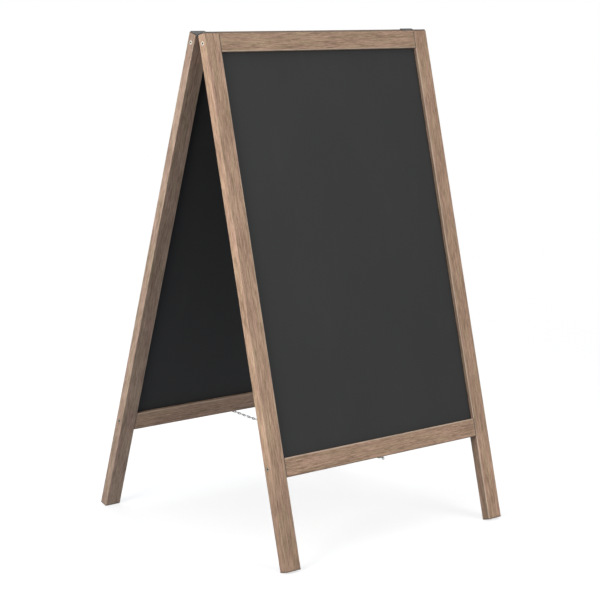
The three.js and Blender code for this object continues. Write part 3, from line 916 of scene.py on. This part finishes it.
def screw_eye(leaf, eye, material):
    """One bent wire: a shank that goes up into the rail and a ring that closes on it."""
    name = f"{leaf}_screw_eye"
    centre = LEAVES[leaf].inverted() @ eye
    shank_top = EYE_DROP + EYE_SHANK_LENGTH
    shank_length = shank_top - EYE_RING_RADIUS - 1.4 * MM
    path = [Vector((0, 0, shank_top - shank_length * k / SHANK_STEPS)) for k in range(SHANK_STEPS + 1)]
    shank_points = len(path)
    path.append(Vector((0, -0.25 * MM, EYE_RING_RADIUS + 0.7 * MM)))
    for k in range(RING_STEPS + 1):
        angle = RING_START + RING_SWEEP * k / RING_STEPS
        path.append(Vector((0, EYE_RING_RADIUS * math.cos(angle), EYE_RING_RADIUS * math.sin(angle))))
    shank_share = shank_points / (len(path) - 1)

    def thickness(share):
        return EYE_WIRE_RADIUS if share > shank_share else EYE_SHANK_RADIUS

    made = make_object(name, moved(tube(path, thickness, sides=14), Matrix.Translation(centre)))
    finish_piece(made, LEAVES[leaf], material, f"{leaf}_leaf", name, sharp_angle=60)


def link_path(outer_length):
    """The middle line of one oval link along x, in the xy plane."""
    bend = LINK_OUTER_WIDTH / 2 - LINK_WIRE_RADIUS
    straight = outer_length / 2 - LINK_OUTER_WIDTH / 2
    path = []
    for sign in (1, -1):
        for k in range(LINK_STEPS + 1):
            angle = -sign * math.pi / 2 + math.pi * k / LINK_STEPS
            path.append(Vector((sign * straight + bend * math.cos(angle), bend * math.sin(angle), 0)))
    return path


def make_chain(material):
    """Oval links, every second one turned a quarter, along the shallow curve between the two eyes."""
    reach = EYE_RING_RADIUS - EYE_WIRE_RADIUS - LINK_WIRE_RADIUS
    control = (FRONT_EYE + BACK_EYE) / 2 - Vector((0, 0, 2 * CHAIN_SAG))

    def point(t):
        return FRONT_EYE * (1 - t) ** 2 + control * 2 * t * (1 - t) + BACK_EYE * t**2

    samples = [point(k / CHAIN_SAMPLES) for k in range(CHAIN_SAMPLES + 1)]
    lengths = [0.0]
    for a, b in zip(samples, samples[1:]):
        lengths.append(lengths[-1] + (b - a).length)

    def at(distance):
        """The sample that is nearest to a distance along the curve."""
        guess = int(distance / lengths[-1] * CHAIN_SAMPLES)
        nearby = range(max(0, guess - 6), min(CHAIN_SAMPLES, guess + 7))
        return samples[min(nearby, key=lambda k: abs(lengths[k] - distance))]

    pitch = (lengths[-1] - 2 * reach - 2 * LINK_WIRE_RADIUS) / LINK_COUNT
    outer_length = pitch + 4 * LINK_WIRE_RADIUS
    link = tube(link_path(outer_length), LINK_WIRE_RADIUS, closed=True, sides=LINK_SIDES)
    draw = random.Random(5)
    halves = {"front": [], "back": []}
    tarnish_and_shade = {"front": [], "back": []}
    for k in range(LINK_COUNT):
        middle = reach + LINK_WIRE_RADIUS + pitch * (k + 0.5)
        start, end = at(middle - pitch / 2), at(middle + pitch / 2)
        along = (end - start).normalized()
        side = Vector((0, 0, 1)).cross(along).normalized()
        up = along.cross(side)
        turn = Matrix((along, side, up)).transposed().to_4x4()
        quarter = math.pi / 2 * (k % 2) + draw.uniform(-LINK_SWAY, LINK_SWAY)
        place = Matrix.Translation((start + end) / 2) @ turn @ Matrix.Rotation(quarter, 4, "X")
        leaf = "front" if k < LINK_COUNT / 2 else "back"
        halves[leaf].append(moved(link, place))
        # Every second, upright link is painted darker, as painted shade.
        tarnish_and_shade[leaf] += [UPRIGHT_LINK_PAINTED_SHADE * (k % 2)] * len(link[0])
    for leaf, links in halves.items():
        made = make_object(f"{leaf}_chain_links", joined(links))
        made.data.attributes.new("painted_shade", "FLOAT", "POINT").data.foreach_set("value", tarnish_and_shade[leaf])
        body, replaced = f"{leaf}_chain", f"{leaf}_chain_half"
        finish_piece(made, Matrix.Identity(4), material, body, replaced, sharp_angle=60)


# ---------------------------------------------------------------- the leaves
def make_leaf(leaf, hands, first_knuckle, eye, metals, seed):
    """Everything on one leaf but its board. hands names the sides at the leaf's own -x and +x."""
    for index, hand in enumerate(hands):
        side = 2 * index - 1
        make_stile(leaf, hand, side, seed + index)
        for which, screw_z, metal in (
            ("top", TOP_RAIL_Z, metals["bright"]),
            ("bottom", BOTTOM_SCREW_Z, metals["darker"]),
        ):
            name = f"{leaf}_{hand}_{which}_screw"
            screw = frame_screw(name)
            screw.data.transform(Matrix.Rotation(0.4 * seed + index + screw_z, 4, "Z"))
            screw.data.transform(to_side_face(side, screw_z))
            finish_piece(screw, LEAVES[leaf], metal, f"{leaf}_leaf", name)
        hinge_plate(f"{leaf}_{hand}_hinge_plate", leaf, side, first_knuckle, metals["hinge"])
        for which, end in (("outer", 1), ("inner", -1)):
            name = f"{leaf}_{hand}_hinge_{which}_screw"
            screw = hinge_screw(name, 0.7 * seed + 1.3 * end + index)
            screw.data.transform(to_plate(side, end))
            finish_piece(screw, LEAVES[leaf], metals["hinge"], f"{leaf}_leaf", name)
        if first_knuckle == 0:
            hinge_pin(f"{hand}_hinge_pin", side, metals["hinge"])
    make_rail(leaf, "top", TOP_RAIL_Z, GROOVE_TOP_Z, TOP_RAIL_Z, seed + 2)
    make_rail(leaf, "bottom", BOTTOM_RAIL_Z, GROOVE_BOTTOM_Z, BOTTOM_SCREW_Z, seed + 3, eye)
    screw_eye(leaf, eye, metals["eye"])


# ---------------------------------------------------------------- studio
DOME_COLOUR = (0.91, 0.975, 1.08, 1.0)
DOME_BELOW = 0.365
DOME_ABOVE = 0.58
FLOOR_RADIUS = 6.0
FLOOR_SIDES = 96
FLOOR_WHITE = (0.92, 0.92, 0.92, 1)
FLOOR_CLEAR = 0.66  # how much of the white backdrop shows through the floor
FLOOR_THINNING = (0.12, 0.55)  # shares of the radius where the floor begins to thin out and where it's gone
LIGHTS = [  # name, place, target, size, power in watts, colour
    ("key_light", (-3.3, -0.55, 1.45), (0, 0, 0.65), (1.7, 1.7), 155, (1.0, 0.975, 0.945)),
    ("front_light", (0.9, -3.6, 2.3), (0, 0, 0.6), (2.4, 2.0), 86, (1.0, 0.955, 0.88)),
    ("top_light", (0, 0, 3.4), (0, 0, 0.6), (2.6, 2.6), 40, (1, 1, 1)),
    ("back_light", (1.2, 3.8, 1.9), (0, 0, 0.6), (2.4, 2.0), 55, (1, 1, 1)),
]


def area_light(name, place, target, size, power, colour):
    data = bpy.data.lights.new(name, "AREA")
    data.shape = "RECTANGLE"
    data.size, data.size_y = size
    data.energy = power
    data.color = colour
    lamp = bpy.data.objects.new(name, data)
    bpy.context.scene.collection.objects.link(lamp)
    lamp.location = place
    lamp.rotation_euler = (Vector(target) - Vector(place)).to_track_quat("-Z", "Y").to_euler()


def make_world():
    """White behind the board. The board itself is lit by a dome that brightens from below to above."""
    world = bpy.data.worlds.new("studio")
    bpy.context.scene.world = world
    world.use_nodes = True
    tree = world.node_tree
    tree.nodes.clear()
    direction = tree.nodes.new("ShaderNodeTexCoord").outputs["Generated"]
    split = tree.nodes.new("ShaderNodeSeparateXYZ")
    tree.links.new(direction, split.inputs[0])
    height = tree.nodes.new("ShaderNodeMapRange")
    height.interpolation_type = "SMOOTHSTEP"
    height.inputs["From Min"].default_value = -0.5
    height.inputs["To Min"].default_value = DOME_BELOW
    height.inputs["To Max"].default_value = DOME_ABOVE
    tree.links.new(split.outputs["Z"], height.inputs["Value"])
    dome = tree.nodes.new("ShaderNodeBackground")
    dome.inputs["Color"].default_value = DOME_COLOUR
    tree.links.new(height.outputs["Result"], dome.inputs["Strength"])
    backdrop = tree.nodes.new("ShaderNodeBackground")
    backdrop.inputs["Color"].default_value = (1, 1, 1, 1)
    choose = tree.nodes.new("ShaderNodeMixShader")
    path = tree.nodes.new("ShaderNodeLightPath")
    tree.links.new(path.outputs["Is Camera Ray"], choose.inputs[0])
    tree.links.new(dome.outputs[0], choose.inputs[1])
    tree.links.new(backdrop.outputs[0], choose.inputs[2])
    output = tree.nodes.new("ShaderNodeOutputWorld")
    tree.links.new(choose.outputs[0], output.inputs["Surface"])


def make_floor():
    """A pale disc that thins out towards its rim, so that it has no visible edge on the white backdrop."""
    turns = [2 * math.pi * k / FLOOR_SIDES for k in range(FLOOR_SIDES)]
    ring = [(FLOOR_RADIUS * math.cos(turn), FLOOR_RADIUS * math.sin(turn), 0) for turn in turns]
    floor = make_object("floor", (ring, [tuple(range(FLOOR_SIDES))]))
    n = Nodes("floor_white")
    n.shader.inputs["Base Color"].default_value = FLOOR_WHITE
    n.shader.inputs["Roughness"].default_value = 0.9
    n.shader.inputs["Specular IOR Level"].default_value = 0.1
    place = n.add("ShaderNodeTexCoord").outputs["Object"]
    distance = n.add("ShaderNodeVectorMath", {"operation": "LENGTH"}, {0: place}).outputs["Value"]
    thinning = n.ramp(distance, *[FLOOR_RADIUS * share for share in FLOOR_THINNING])
    clear_share = n.math("ADD", FLOOR_CLEAR, n.math("MULTIPLY", thinning, 1.0 - FLOOR_CLEAR))
    clear = n.add("ShaderNodeBsdfTransparent")
    blend = n.add("ShaderNodeMixShader", inputs={0: clear_share})
    n.link(n.shader.outputs[0], blend.inputs[1])
    n.link(clear.outputs[0], blend.inputs[2])
    n.link(blend.outputs[0], n.tree.nodes["Material Output"].inputs["Surface"])
    floor.data.materials.append(n.material)


# ---------------------------------------------------------------- the scene
make_camera()
make_world()
make_floor()
for light in LIGHTS:
    area_light(*light)
bpy.context.scene.view_settings.view_transform = "Standard"

metals = {use: metal_material(*looks) for use, looks in METALS.items()}
slate = slate_material()
for leaf in LEAVES:
    board = frame["nodes"][f"{leaf}_chalkboard"]
    board.data.materials.clear()
    board.data.materials.append(slate)

make_leaf("front", ("left", "right"), 0, FRONT_EYE, metals, 11)
make_leaf("back", ("right", "left"), 1, BACK_EYE, metals, 23)
make_chain(metals["chain"])
